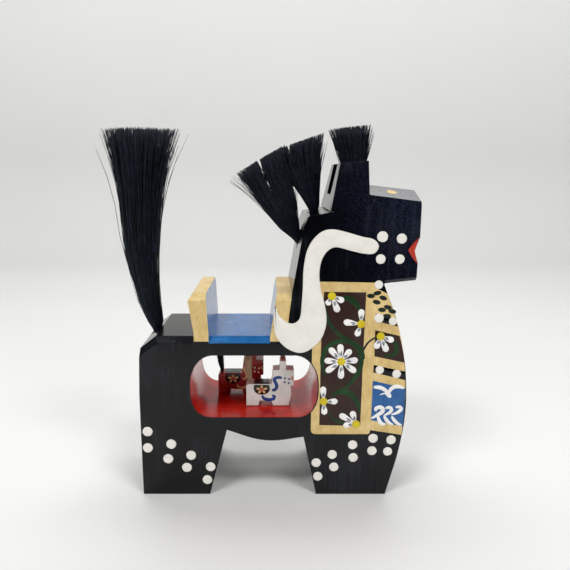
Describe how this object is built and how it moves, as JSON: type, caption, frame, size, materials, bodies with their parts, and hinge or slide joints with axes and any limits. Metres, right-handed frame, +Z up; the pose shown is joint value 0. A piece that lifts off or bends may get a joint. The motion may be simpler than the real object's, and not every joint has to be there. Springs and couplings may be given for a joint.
{
  "type": "wooden horse figurine",
  "caption": "Black lacquered wooden toy horse sawn from a block, with horsehair mane and tail, a painted saddle and harness, and small loose foals standing in a tunnel through its belly.",
  "frame": {"origin": "on the ground under the middle of the whole object, tail included, in the middle of the plank's thickness", "axes": "+X towards the muzzle, +Y through the plank's thickness, +Z up"},
  "size_m": [0.1636, 0.056, 0.1996],
  "materials": {
    "black_lacquered_wood": "satin black lacquer",
    "black_horsehair": "glossy coarse hair",
    "binding_thread": "matte cotton thread",
    "white_painted_wood": "satin paint",
    "red_painted_wood": "satin paint",
    "blond_hair": "fine hair",
    "chestnut_hair": "fine hair"
  },
  "bodies": {
    "horse": {"body_block": "black_lacquered_wood", "tail_hair": "black_horsehair", "neck_mane_hair": "black_horsehair", "crest_mane_hair": "black_horsehair", "forelock_hair": "black_horsehair", "tail_binding": "binding_thread", "neck_mane_binding": "binding_thread", "crest_mane_binding": "binding_thread", "forelock_binding": "binding_thread"},
    "white_foal": {"white_foal_block": "white_painted_wood", "white_foal_tail": "blond_hair", "white_foal_forelock": "chestnut_hair"},
    "red_foal": {"red_foal_block": "red_painted_wood", "red_foal_tail": "black_horsehair", "red_foal_forelock": "black_horsehair"}
  },
  "joints": [
    {"name": "white_foal_slide", "type": "slide", "parent": "horse", "child": "white_foal", "axis": [0, -1, 0], "range_m": [0, 0.03]},
    {"name": "red_foal_slide", "type": "slide", "parent": "horse", "child": "red_foal", "axis": [0, 1, 0], "range_m": [0, 0.03]}
  ]
}
